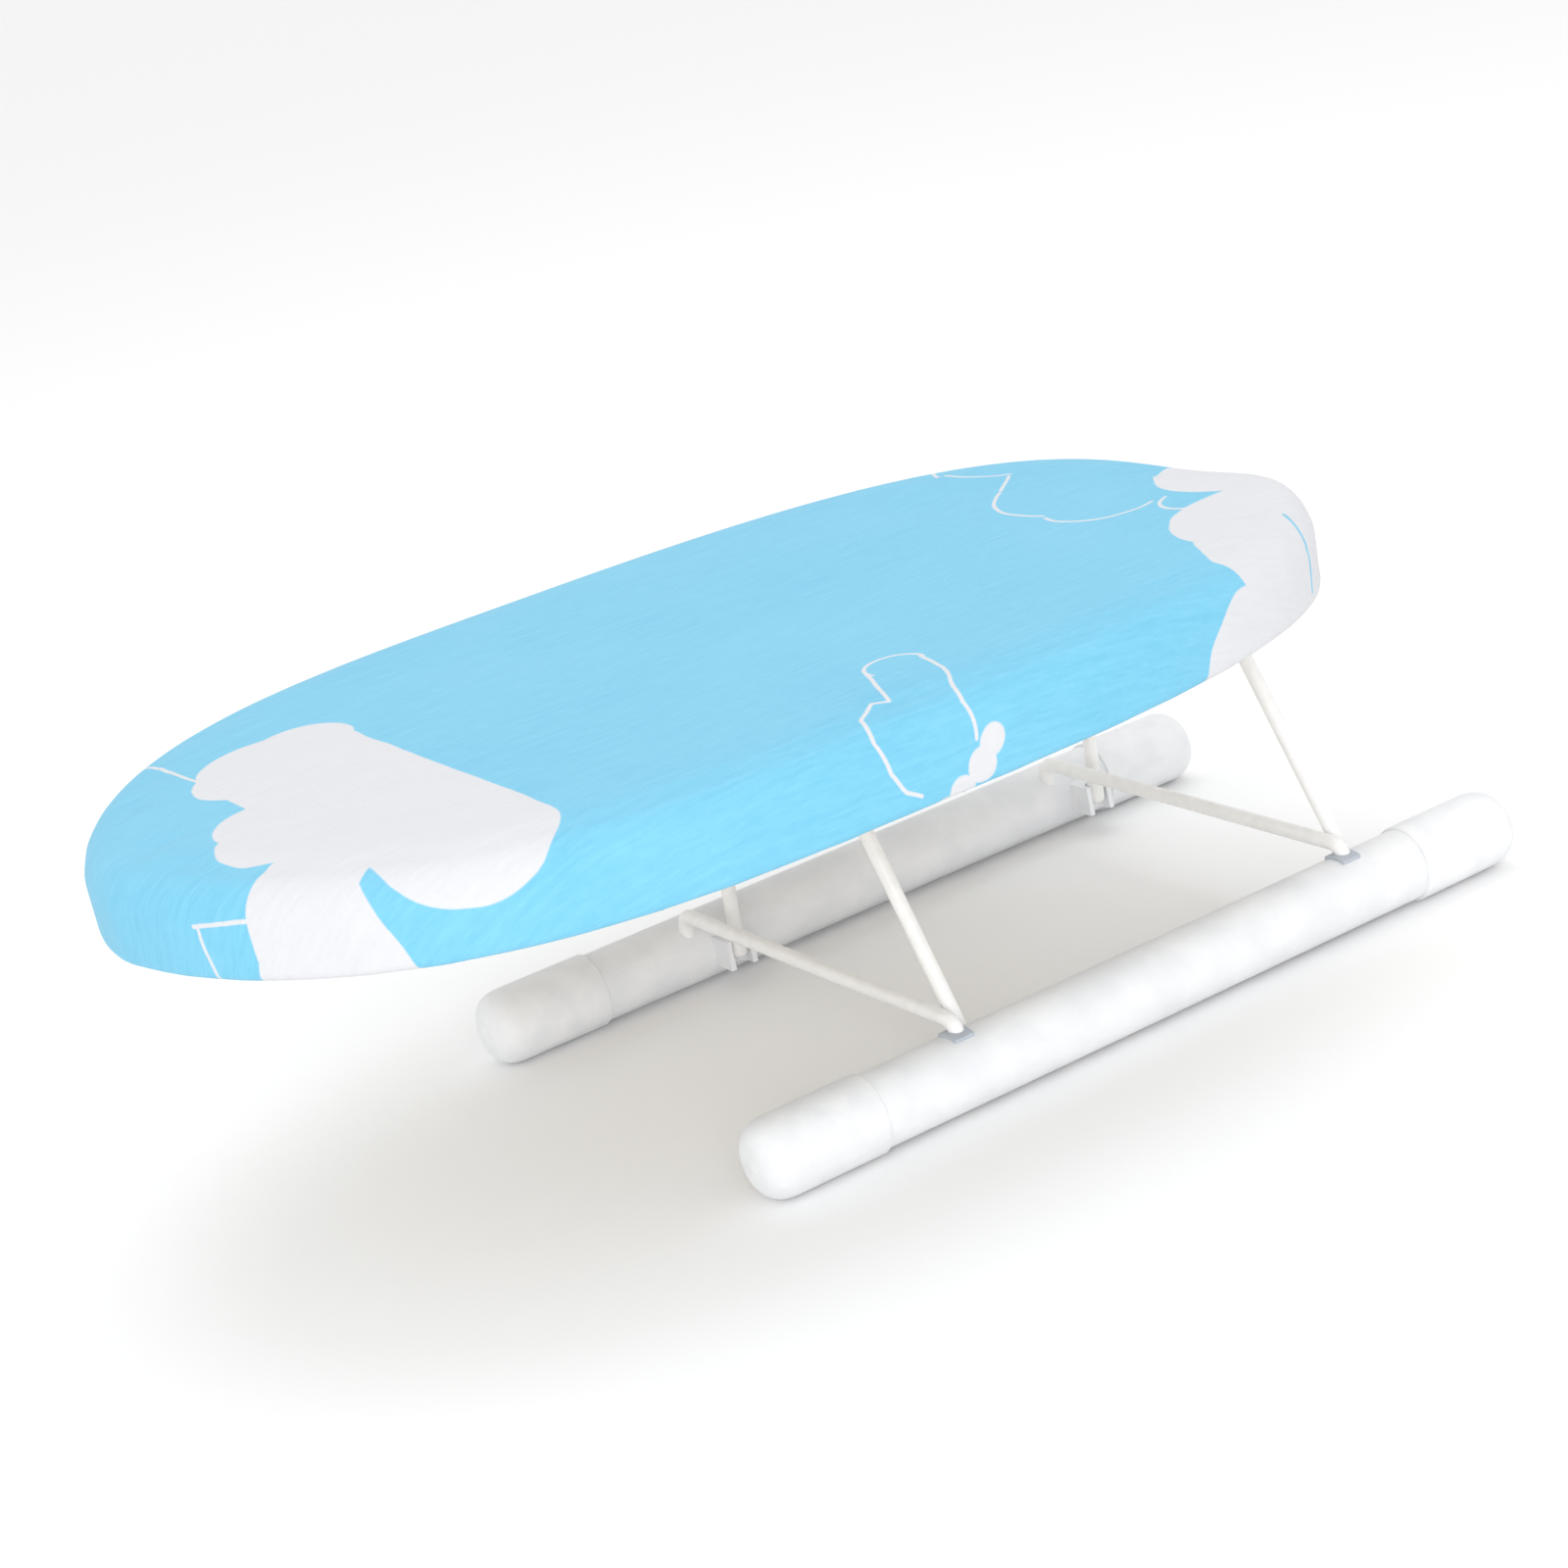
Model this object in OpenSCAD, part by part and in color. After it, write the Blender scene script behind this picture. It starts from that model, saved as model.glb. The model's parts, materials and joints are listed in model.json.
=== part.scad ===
// Folding tabletop ironing board: a padded board on a wire frame with two tube feet.
// The feet and the stays between them are the base. The leg frame is hinged inside the near foot,
// the board is hinged to the leg frame, and the strut frame is hinged to the board and stands in
// two forks on the far foot. Folding swings the struts in and lays the board down on the stays.
// +X runs from the board's nose to its blunt tail, +Z is up, and the floor is at z = 0.

/* [Board] */
// Length of the padded board from nose to tail
board_len = 572; // [500:1:700]
// Width of the padded board at its widest
board_w = 360; // [300:1:440]
// Distance from the widest place to the tail
widest_to_tail = 304; // [290:1:320]
// Height of the ironing surface above the floor
surface_h = 200; // [185:1:245]
// Height of the padded side, hem to ironing surface
side_h = 39; // [34:1:48]
// How pointed the nose is along its length
nose_power = 3.0; // [2:0.1:4]
// How full the nose is across its width
nose_fullness = 1.67; // [1.4:0.01:2.4]
// How blunt the tail is along its length
tail_power = 3.1; // [2.4:0.1:4]
// How square the corners of the tail are
tail_fullness = 3.0; // [2:0.1:3.6]
// Thickness of the wooden panel
panel_t = 12; // [9:0.5:15]
// How far the side is drawn in at its lower edge
side_draw = 3; // [2:0.5:4]
// Height over which the side is drawn in
draw_h = 7; // [5:0.5:8]
// Foam that stands out round the panel's edge
foam_skirt = 10; // [8:0.5:14]
// Thickness of the cover cloth
cover_t = 1.2; // [1:0.1:1.6]
// Radius of the cover's upper edge
edge_r = 15; // [10:1:18]

/* [Hem] */
// Width of the hem turned in under the board
hem_w = 20; // [17:0.5:22]
// Width of the stitched tunnel along the hem's inner edge
tunnel_w = 5; // [4.5:0.5:6]
// Height of the tunnel
tunnel_h = 3.6; // [3.4:0.1:4.2]
// Width of the elastic inside the tunnel
elastic_w = 2.6; // [2:0.1:3]
// Thickness of the elastic
elastic_t = 1.6; // [1.2:0.1:1.8]

/* [Feet] */
// Outside diameter of the foot tubes
foot_d = 34; // [30:0.5:40]
// Wall of the foot tubes
foot_wall = 2; // [1.5:0.1:3]
// Length of a foot over its caps
foot_len = 424; // [380:1:520]
// Distance between the two feet, centre to centre
foot_span = 238; // [230:1:300]
// How far the feet reach past the board's tail
foot_overhang = 49.5; // [20:0.5:80]
// Length of an end cap
cap_len = 59; // [40:1:70]
// Length of the domed part of a cap
dome_len = 15; // [10:1:20]
// Wall of an end cap over the tube
cap_wall = 1.2; // [1:0.1:2]
// Clearance between cap and tube
cap_fit = 0.05; // [0.03:0.01:0.2]

/* [Wire frames] */
// Diameter of the steel wire
wire_d = 7; // [6:0.5:8]
// Distance from the feet's nose end to the first leg
leg_from_foot_end = 119; // [105:1:130]
// Distance between the two legs
leg_spacing = 221; // [190:1:240]
// Gap between wires that stand side by side
wire_gap = 1.5; // [1.2:0.1:2.5]
// Bend radius of the frames' upper corners, on the wire's centre line
corner_r = 14; // [11:0.5:18]
// Bend radius of the small bends, on the wire's centre line
small_r = 7; // [5.5:0.5:9]
// Clearance round a wire that turns in its bearing
running_fit = 0.06; // [0.03:0.01:0.1]

/* [Stance] */
// Lean of the legs from upright, in degrees
leg_lean = 29; // [22:0.5:32]
// Lean of the struts from upright, in degrees
strut_lean = 5.5; // [4:0.5:8]
// Distance from the near foot's axis in to the leg hinge
leg_hinge_in = 7.5; // [6:0.5:8]
// Height of the leg hinge above the near foot's axis
leg_hinge_up = 7; // [5:0.5:7]
// Distance from the board's centre line to the strut hinge
strut_hinge_y = 80; // [76:0.5:84]
// Height of the strut tips above the floor on a board 200 mm high
tip_h = 15; // [14:0.5:17]
// Height that the strut tips gain for each mm that the board is higher
tip_rise = 0.12; // [0.1:0.01:0.15]
// Gap between the hem and the strut wire, and between crossing wires when folded
layer_gap = 1; // [0.6:0.1:2]
// Distance from the far foot's axis in to the stay's turned-down end
stay_end_in = 10; // [6:0.5:13]

/* [Fittings] */
// Thickness of the saddles under the stays' ends
saddle_t = 1.5; // [1.2:0.1:2.5]
// Length of a saddle along the foot, on the side away from the leg
saddle_len = 6; // [5.5:0.5:12]
// Width of a saddle across the foot
saddle_w = 13; // [11:0.5:20]
// Length of a leg bearing along the foot
bearing_len = 14; // [10:1:16]
// Room round a leg in its slot in the foot tube
slot_gap = 0.6; // [0.4:0.1:1.5]
// Length of the screws that hold the leg bearings
bearing_screw_len = 10; // [8:0.5:12]
// Material round a wire in its bearing
bearing_wall = 3; // [2.5:0.1:3.5]
// Length of a hinge block under the panel
block_len = 24; // [18:1:30]
// Distance from a leg to the middle of its hinge block
block_in = 34; // [30:1:50]
// Thickness of the hinge blocks' screw flanges
flange_t = 3.5; // [3:0.5:5]
// Distance from a block's middle to its screws
block_screw_y = 13; // [12:0.5:16]
// Diameter of the screws
screw_d = 3.5; // [3:0.5:4]
// Diameter of the screw heads
screw_head_d = 7; // [6:0.5:7.5]
// Height of the screw heads
screw_head_h = 2.2; // [1.8:0.1:2.8]
// Length of the screws below the head, into the panel
panel_screw_len = 12; // [10:0.5:12]
// Wall of the soft caps on the strut tips
tip_cap_wall = 0.8; // [0.6:0.1:1.2]
// Length of the soft caps on the strut tips
tip_cap_len = 14; // [10:1:18]
// Clearance between a strut and the fork that it stands in
fork_gap = 0.6; // [0.4:0.1:1]
// Thickness of the fork's walls
fork_wall = 2.6; // [2:0.1:4]
// Height of the fork
fork_h = 15; // [12:1:17]
// Diameter of the peg that holds a fork in the far foot
fork_peg_d = 8; // [6:0.5:9]
// How far the fork's peg reaches into the far foot
fork_peg_in = 6; // [4:0.5:10]
// Height of the round end of a strut tip cap
tip_dome = 3; // [2:0.5:4]
// Length of the leg frame's turned foot past its bearing
pin_out = 5; // [4.5:0.5:6]
// Diameter of the push-on caps on the leg frame's turned feet
push_cap_d = 9.4; // [9:0.1:9.6]
// Length of the push-on caps
push_cap_len = 6; // [5.5:0.5:8]
// Rim of a hinge block's flange past its screw heads
flange_rim = 1.5; // [1:0.5:3]

/* [Hidden] */
$fn = 64;
eps = 0.01;
// Length by which a cut runs past the face that it opens
over = 1;
// Straight wire between a small bend and its bearing
bend_gap = 1;
// Small gap that keeps the push caps and the saddles clear of what turns beside them
side_gap = 0.2;

// Along the board: the whole object is centred on x = 0
overall_len = board_len + foot_overhang;
nose_x = -overall_len / 2;
tail_x = nose_x + board_len;
widest_x = tail_x - widest_to_tail;
widest_from_nose = board_len - widest_to_tail;
foot_x1 = overall_len / 2;
foot_x0 = foot_x1 - foot_len;
// Across: the near foot is on the -Y side
foot_y = foot_span / 2;
foot_r = foot_d / 2;
cap_r = foot_r + cap_fit + cap_wall;
foot_z = cap_r;
wire_r = wire_d / 2;
// Stations along X of the legs, the stays and the struts
wire_step = wire_d + wire_gap;
leg_x = [foot_x0 + leg_from_foot_end, foot_x0 + leg_from_foot_end + leg_spacing];
stay_x = [leg_x[0] - wire_step, leg_x[1] - wire_step];
strut_x = [leg_x[0] + wire_step, leg_x[1] + wire_step];
// The stays lie across the feet; the legs turn inside the near foot
stay_z = foot_z + foot_r + saddle_t + wire_r;
leg_hinge_y = -foot_y + leg_hinge_in;
leg_hinge_z = foot_z + leg_hinge_up;
// Heights under the board
hem_z = surface_h - side_h;
fabric_gap = 0.1;
panel_z = hem_z + cover_t + 0.5;
panel_edge = cover_t + foam_skirt;
strut_hinge_z = hem_z + cover_t - tunnel_h - layer_gap - wire_r;
leg_top_z = strut_hinge_z - wire_d - layer_gap;
leg_len = (leg_top_z - leg_hinge_z) / cos(leg_lean);
leg_top_y = leg_hinge_y + leg_len * sin(leg_lean);
// A higher board swings lower before the struts are clear, so its strut tips start higher
tip_z = tip_h + tip_rise * (surface_h - 200);
strut_len = (strut_hinge_z - tip_z) / cos(strut_lean);
// Folding ends when the leg frame's crossbar lies just above the stays
folded_top_z = stay_z + wire_d + layer_gap;
leg_fold = acos((folded_top_z - leg_hinge_z) / leg_len) - leg_lean;
strut_fold = 90 + strut_lean;
echo(leg_fold = leg_fold, strut_fold = strut_fold, ratio = strut_fold / leg_fold);
echo(leg_hinge = [leg_hinge_y, leg_hinge_z], leg_top = [leg_top_y, leg_top_z],
     strut_hinge = [strut_hinge_y, strut_hinge_z]);
// A leg bearing starts just past the small bend
bearing_x0 = small_r + bend_gap;
bore_r = foot_r - foot_wall;
// Outline: points in each quarter of the board
QUARTER = 18;
// Pan head, as shares of its radius and height
PAN_HEAD = [[1, 0.4], [0.8, 0.85], [0.45, 1]];

white = [0.93, 0.93, 0.91];
sky = [0.47, 0.79, 0.91];
clay = [0.62, 0.66, 0.70];

// Half of the board's outline, from the nose tip to the tail end, drawn in by "inset"
function nose_half(inset) = [for (i = [QUARTER:-1:1])
    let (u = sin(90 * i / QUARTER))
    [widest_x - (widest_from_nose - inset) * u,
     (board_w / 2 - inset) * pow(max(0, 1 - pow(u, nose_power)), 1 / nose_fullness)]];
function tail_half(inset) = [for (i = [0:1:QUARTER])
    let (u = sin(90 * i / QUARTER))
    [widest_x + (widest_to_tail - inset) * u,
     (board_w / 2 - inset) * pow(max(0, 1 - pow(u, tail_power)), 1 / tail_fullness)]];
function half_outline(inset) = concat(nose_half(inset), tail_half(inset));
// Whole outline, anticlockwise, with the two points on the centre line used once
function outline(inset) = let (h = half_outline(inset), n = len(h))
    concat([for (i = [0:1:n - 1]) [h[i][0], -h[i][1]]],
           [for (i = [n - 2:-1:1]) h[i]]);

// A solid through outlines at several heights; each ring is [inset, z]
module stacked(rings) {
    n = len(outline(0));
    m = len(rings);
    points = [for (r = rings) for (p = outline(r[0])) [p[0], p[1], r[1]]];
    sides = [for (k = [0:1:m - 2]) for (i = [0:1:n - 1]) let (j = (i + 1) % n)
             [k * n + i, (k + 1) * n + i, (k + 1) * n + j, k * n + j]];
    polyhedron(points, concat([[for (i = [0:1:n - 1]) i]], sides,
                              [[for (i = [n - 1:-1:0]) (m - 1) * n + i]]), convexity = 4);
}

module plate(inset, z, h) translate([0, 0, z]) linear_extrude(h) polygon(outline(inset));

// Rings of the padded shape: "skin" is how deep below the cover's outside it lies
function padded_rings(skin, bottom) = concat(
    [[skin + side_draw, bottom], [skin, bottom + draw_h]],
    [for (a = [0:18:72]) [skin + edge_r * (1 - cos(a)), surface_h - skin - edge_r * (1 - sin(a))]],
    [[skin + edge_r, surface_h - skin]]);

// ---------- wires ----------

// A straight wire from the origin along +X
module bar(length, r = wire_r) rotate([0, 90, 0]) cylinder(r = r, h = length);

// A quarter bend from the origin: it starts along +X and ends along -Z
module bend(radius, r = wire_r) translate([0, 0, -radius]) rotate([90, 0, 0])
    rotate_extrude(angle = 90) translate([radius, 0]) circle(r);

// ---------- base ----------

module tube(y) difference() {
    translate([foot_x0 + dome_len, y, foot_z]) bar(foot_len - 2 * dome_len, foot_r);
    translate([foot_x0, y, foot_z]) bar(foot_len, bore_r);
}

// Each leg passes through a slot in the near foot, wide enough for its swing and its bend
module leg_slot(x) {
    c = wire_r + slot_gap;
    far = 3 * foot_r;
    translate([x - c, leg_hinge_y, leg_hinge_z]) rotate([90, 0, 90])
        linear_extrude(2 * c + small_r / 2)
        polygon([[0, -c], [far, -c], [far, far], [far * sin(leg_lean) - c, far * cos(leg_lean)],
                 [-c * cos(leg_lean), c * sin(leg_lean)], [-c, 0]]);
}

module near_foot_tube() color(white) difference() {
    tube(-foot_y);
    for (x = leg_x) leg_slot(x);
    for (x = stay_x) stay_hole(x);
    for (x = leg_x) translate([x + bearing_x0 + bearing_len / 2, -foot_y, foot_z]) rotate([-90, 0, 0])
        cylinder(r = screw_d / 2, h = foot_d);
}

module far_foot_tube() color(white) difference() {
    tube(foot_y);
    for (x = stay_x) translate([x, foot_y - stay_end_in, foot_z]) cylinder(r = wire_r, h = foot_d);
    for (x = strut_x) translate([x, foot_y, foot_z]) rotate([90, 0, 0])
        cylinder(r = fork_peg_d / 2, h = foot_d);
}

// Cap with its dome at the origin and its mouth towards +X
module end_cap() color(white) rotate([0, 90, 0]) rotate_extrude() polygon(concat(
    [[0, 0]],
    [for (a = [9:9:90]) [cap_r * pow(sin(a), 0.62), dome_len * (1 - pow(cos(a), 0.8))]],
    [[cap_r, cap_len], [foot_r + cap_fit, cap_len], [foot_r + cap_fit, dome_len], [0, dome_len]]));

module near_nose_end_cap() translate([foot_x0, -foot_y, foot_z]) end_cap();
module far_nose_end_cap() translate([foot_x0, foot_y, foot_z]) end_cap();
module near_tail_end_cap() translate([foot_x1, -foot_y, foot_z]) mirror([1, 0, 0]) end_cap();
module far_tail_end_cap() translate([foot_x1, foot_y, foot_z]) mirror([1, 0, 0]) end_cap();

// Stay: a wire across both feet, its ends turned down into the tubes
module stay(x) color(white) {
    far_y = foot_y - stay_end_in;
    drop = stay_z - foot_z - small_r;
    translate([x, 0, stay_z]) {
        translate([0, -foot_y + small_r, 0]) rotate([0, 0, 90]) bar(far_y + foot_y - 2 * small_r);
        translate([0, far_y - small_r, 0]) rotate([0, 0, 90]) bend(small_r);
        translate([0, -foot_y + small_r, 0]) rotate([0, 0, -90]) bend(small_r);
        for (y = [-foot_y, far_y]) translate([0, y, -small_r - drop]) cylinder(r = wire_r, h = drop);
    }
}

module nose_side_stay() stay(stay_x[0]);
module tail_side_stay() stay(stay_x[1]);

// Room for the stay's near end where it turns down through the saddle and the tube
module stay_hole(x) translate([x, -foot_y, stay_z]) {
    translate([0, 0, -stay_z + foot_z])
        cylinder(r = wire_r + cap_fit, h = stay_z - foot_z - small_r + eps);
    translate([0, small_r, 0]) rotate([0, 0, -90]) bend(small_r, wire_r + cap_fit);
}

// Saddle: a curved seat on top of the near foot, held down by the stay's turned end
module stay_saddle(x) color(clay) {
    x0 = x - saddle_len;
    x1 = x + wire_step - wire_r - slot_gap - side_gap;
    difference() {
        intersection() {
            translate([x0, -foot_y, foot_z]) bar(x1 - x0, foot_r + saddle_t);
            translate([x0 - over, -foot_y - saddle_w / 2, foot_z])
                cube([x1 - x0 + 2 * over, saddle_w, foot_d]);
        }
        translate([x0 - over, -foot_y, foot_z]) bar(x1 - x0 + 2 * over, foot_r);
        stay_hole(x);
    }
}

module nose_side_stay_saddle() stay_saddle(stay_x[0]);
module tail_side_stay_saddle() stay_saddle(stay_x[1]);

// Leg bearing: a plug inside the near foot with a bore for the leg frame's turned foot
module leg_bearing(x) color(clay) difference() {
    translate([x + bearing_x0, -foot_y, foot_z]) bar(bearing_len, bore_r - cap_fit);
    translate([x + bearing_x0 - over, leg_hinge_y, leg_hinge_z])
        bar(bearing_len + 2 * over, wire_r + running_fit);
    translate([x + bearing_x0 + bearing_len / 2, -foot_y + foot_r - bearing_screw_len, foot_z])
        rotate([-90, 0, 0]) cylinder(r = screw_d / 2, h = foot_d);
}

module nose_side_leg_bearing() leg_bearing(leg_x[0]);
module tail_side_leg_bearing() leg_bearing(leg_x[1]);

// Strut fork: a block on the far foot's inner side, with a slot that is open inwards and downwards
module strut_fork(x) color(clay) {
    slot_r = wire_r + tip_cap_wall + fork_gap;
    half_w = slot_r + fork_wall;
    strut_y = strut_hinge_y + (strut_hinge_z - foot_z) * tan(strut_lean);
    difference() {
        translate([x - half_w, strut_y - wire_r, foot_z - fork_h / 2])
            cube([2 * half_w, foot_y - strut_y + wire_r, fork_h]);
        difference() {
            translate([x - half_w - over, foot_y, foot_z]) bar(2 * (half_w + over), foot_r);
            translate([x, foot_y - foot_r + fork_peg_in, foot_z]) rotate([90, 0, 0])
                cylinder(r = fork_peg_d / 2, h = foot_d);
        }
        translate([x, strut_hinge_y, strut_hinge_z]) rotate([strut_lean, 0, 0]) {
            translate([0, 0, -strut_len - fork_h]) cylinder(r = slot_r, h = strut_len);
            translate([-slot_r, -4 * slot_r, -strut_len - fork_h])
                cube([2 * slot_r, 4 * slot_r, strut_len]);
        }
    }
}

module nose_side_strut_fork() strut_fork(strut_x[0]);
module tail_side_strut_fork() strut_fork(strut_x[1]);

// Pan-head screw with its head's underside at the origin, pointing down
module screw(length) {
    translate([0, 0, -length]) cylinder(r = screw_d / 2, h = length);
    r = screw_head_d / 2;
    h = screw_head_h;
    rotate_extrude() polygon(concat([[0, -eps], [r, -eps]], [for (p = PAN_HEAD) [r * p[0], h * p[1]]],
                                    [[0, h]]));
}

module bearing_screws() color("silver")
    for (x = leg_x) translate([x + bearing_x0 + bearing_len / 2, -foot_y + foot_r + 2 * eps, foot_z])
        rotate([-90, 0, 0]) screw(bearing_screw_len);

// ---------- leg frame ----------

// A crossbar with a leg at each end; each leg's foot is turned to +X into its bearing
module leg_frame() color(white)
    translate([0, leg_top_y, leg_top_z]) rotate([-leg_lean, 0, 0]) {
        translate([leg_x[0] + corner_r, 0, 0]) bar(leg_spacing - 2 * corner_r);
        translate([leg_x[1] - corner_r, 0, 0]) bend(corner_r);
        translate([leg_x[0] + corner_r, 0, 0]) mirror([1, 0, 0]) bend(corner_r);
        for (x = leg_x) {
            translate([x, 0, -leg_len + small_r])
                cylinder(r = wire_r, h = leg_len - small_r - corner_r);
            translate([x + small_r, 0, -leg_len]) rotate([0, 180, 0]) bend(small_r);
            translate([x + small_r, 0, -leg_len]) bar(bend_gap + bearing_len + pin_out);
        }
    }

// Push-on caps that keep the turned feet in their bearings
module hinge_push_caps() color(clay)
    for (x = leg_x) translate([x + bearing_x0 + bearing_len + side_gap, leg_hinge_y, leg_hinge_z])
        difference() {
            bar(push_cap_len, push_cap_d / 2);
            translate([-over, 0, 0]) bar(over + pin_out - side_gap, wire_r);
        }

// ---------- strut frame ----------

module strut_frame() color(white)
    translate([0, strut_hinge_y, strut_hinge_z]) rotate([strut_lean, 0, 0]) {
        translate([strut_x[0] + corner_r, 0, 0]) bar(leg_spacing - 2 * corner_r);
        translate([strut_x[1] - corner_r, 0, 0]) bend(corner_r);
        translate([strut_x[0] + corner_r, 0, 0]) mirror([1, 0, 0]) bend(corner_r);
        for (x = strut_x) translate([x, 0, -strut_len + tip_dome])
            cylinder(r = wire_r, h = strut_len - tip_dome - corner_r);
    }

// Soft round caps on the strut tips
module strut_tip_caps() color(white)
    for (x = strut_x) translate([x, strut_hinge_y, strut_hinge_z]) rotate([strut_lean, 0, 0])
        translate([0, 0, -strut_len]) rotate_extrude() polygon(concat(
            [[0, 0]],
            [for (a = [15:15:90]) [(wire_r + tip_cap_wall) * sin(a), tip_dome * (1 - cos(a))]],
            [[wire_r + tip_cap_wall, tip_cap_len], [wire_r, tip_cap_len], [wire_r, tip_dome], [0, tip_dome]]));

// ---------- board ----------

// Screw places under the panel: each block has one screw on either side of its crossbar
leg_block_x = [leg_x[0] + block_in, leg_x[1] - block_in];
strut_block_x = [strut_x[0] + block_in, strut_x[1] - block_in];
function screw_places(xs, y) = [for (x = xs) for (s = [-1, 1]) [x, y + s * block_screw_y]];

module board_panel() color("burlywood") difference() {
    plate(panel_edge, panel_z, panel_t);
    for (p = concat(screw_places(leg_block_x, leg_top_y), screw_places(strut_block_x, strut_hinge_y)))
        translate([p[0], p[1], panel_z - over])
            cylinder(r = screw_d / 2, h = panel_screw_len - flange_t + over);
}

module foam_pad() color("ivory") difference() {
    stacked(padded_rings(cover_t + fabric_gap, panel_z));
    plate(panel_edge, panel_z - over, panel_t + over);
}

module fabric_cover() color(sky) {
    difference() {
        union() {
            stacked(padded_rings(0, hem_z));
            plate(edge_r + over, surface_h - edge_r / 3, edge_r / 3 + eps);
            plate(hem_w - tunnel_w, hem_z + cover_t - tunnel_h, tunnel_h - cover_t + over);
        }
        difference() {
            stacked(padded_rings(cover_t, hem_z + cover_t));
            plate(-hem_w, surface_h - cover_t - eps, 2 * cover_t);
        }
        plate(hem_w, hem_z - tunnel_h, tunnel_h + cover_t + over);
        difference() {
            plate(hem_w - tunnel_w / 2 - elastic_w / 2,
                  hem_z + cover_t - tunnel_h / 2 - elastic_t / 2, elastic_t);
            plate(hem_w - tunnel_w / 2 + elastic_w / 2, hem_z - tunnel_h, 2 * tunnel_h);
        }
    }
}

module hem_elastic() color("white") difference() {
    plate(hem_w - tunnel_w / 2 - elastic_w / 2 + fabric_gap,
          hem_z + cover_t - tunnel_h / 2 - elastic_t / 2 + fabric_gap, elastic_t - 2 * fabric_gap);
    plate(hem_w - tunnel_w / 2 + elastic_w / 2 - fabric_gap, hem_z - tunnel_h, 2 * tunnel_h);
}

// Hinge block under the panel: a bearing for a crossbar with a screw flange on either side
module hinge_block(x, y, z) color(clay) difference() {
    r = wire_r + bearing_wall;
    flange_w = 2 * block_screw_y + screw_head_d + 2 * flange_rim;
    union() {
        translate([x - block_len / 2, y, z]) bar(block_len, r);
        translate([x - block_len / 2, y - r, z]) cube([block_len, 2 * r, panel_z - z]);
        translate([x - block_len / 2, y - flange_w / 2, panel_z - flange_t])
            cube([block_len, flange_w, flange_t]);
    }
    translate([x - block_len, y, z]) bar(2 * block_len, wire_r + running_fit);
    translate([x - block_len, y - r - over, panel_z]) cube([2 * block_len, 2 * (r + over), r * 2]);
    for (p = screw_places([x], y)) translate([p[0], p[1], z - block_len])
        cylinder(r = screw_d / 2, h = 2 * block_len);
}

module nose_side_leg_block() hinge_block(leg_block_x[0], leg_top_y, leg_top_z);
module tail_side_leg_block() hinge_block(leg_block_x[1], leg_top_y, leg_top_z);
module nose_side_strut_block() hinge_block(strut_block_x[0], strut_hinge_y, strut_hinge_z);
module tail_side_strut_block() hinge_block(strut_block_x[1], strut_hinge_y, strut_hinge_z);

module panel_screws(places) color("silver")
    for (p = places) translate([p[0], p[1], panel_z - flange_t - eps]) mirror([0, 0, 1])
        screw(panel_screw_len);

module leg_block_screws() panel_screws(screw_places(leg_block_x, leg_top_y));
module strut_block_screws() panel_screws(screw_places(strut_block_x, strut_hinge_y));

near_foot_tube();
far_foot_tube();
near_nose_end_cap();
near_tail_end_cap();
far_nose_end_cap();
far_tail_end_cap();
nose_side_stay();
tail_side_stay();
nose_side_stay_saddle();
tail_side_stay_saddle();
nose_side_leg_bearing();
tail_side_leg_bearing();
bearing_screws();
nose_side_strut_fork();
tail_side_strut_fork();
leg_frame();
hinge_push_caps();
strut_frame();
strut_tip_caps();
board_panel();
foam_pad();
fabric_cover();
hem_elastic();
nose_side_leg_block();
tail_side_leg_block();
nose_side_strut_block();
tail_side_strut_block();
leg_block_screws();
strut_block_screws();
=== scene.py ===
# %% [markdown]
# # Folding tabletop ironing board
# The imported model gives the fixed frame: every piece already stands where it belongs, in metres,
# with the floor at z = 0, the nose of the board towards -X and the near foot on the -Y side.
# This script adds the soft cover, the moulded end caps, the screws and every surface finish.

# %% Load the frame
import json
import math
import bpy
import numpy as np
from mathutils import Matrix, Vector


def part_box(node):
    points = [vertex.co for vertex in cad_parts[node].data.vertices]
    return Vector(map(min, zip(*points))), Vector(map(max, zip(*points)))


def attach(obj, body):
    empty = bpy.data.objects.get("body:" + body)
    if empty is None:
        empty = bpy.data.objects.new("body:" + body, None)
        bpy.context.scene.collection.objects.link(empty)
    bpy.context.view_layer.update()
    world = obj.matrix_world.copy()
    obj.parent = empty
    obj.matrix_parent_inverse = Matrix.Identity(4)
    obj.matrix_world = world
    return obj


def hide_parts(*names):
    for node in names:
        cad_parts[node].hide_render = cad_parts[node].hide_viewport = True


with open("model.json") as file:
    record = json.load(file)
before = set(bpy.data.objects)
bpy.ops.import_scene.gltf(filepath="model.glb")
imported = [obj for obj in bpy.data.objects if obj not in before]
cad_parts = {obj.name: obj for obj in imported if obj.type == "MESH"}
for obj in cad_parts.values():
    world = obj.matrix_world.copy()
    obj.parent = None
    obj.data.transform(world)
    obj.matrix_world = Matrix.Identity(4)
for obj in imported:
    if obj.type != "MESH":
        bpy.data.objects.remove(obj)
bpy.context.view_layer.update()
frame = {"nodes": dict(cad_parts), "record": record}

scene = bpy.context.scene

# %% [markdown]
# ## Small helpers
# Blender's operators act on whatever is selected, and loading leaves the whole model selected.
# So each piece starts with nothing selected, and faces or edges are picked by where they are.

# %% Selection and edit helpers
def nothing_selected():
    if bpy.context.object and bpy.context.object.mode != "OBJECT":
        bpy.ops.object.mode_set(mode="OBJECT")
    bpy.ops.object.select_all(action="DESELECT")


def only(piece):
    nothing_selected()
    piece.select_set(True)
    bpy.context.view_layer.objects.active = piece
    return piece


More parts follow.
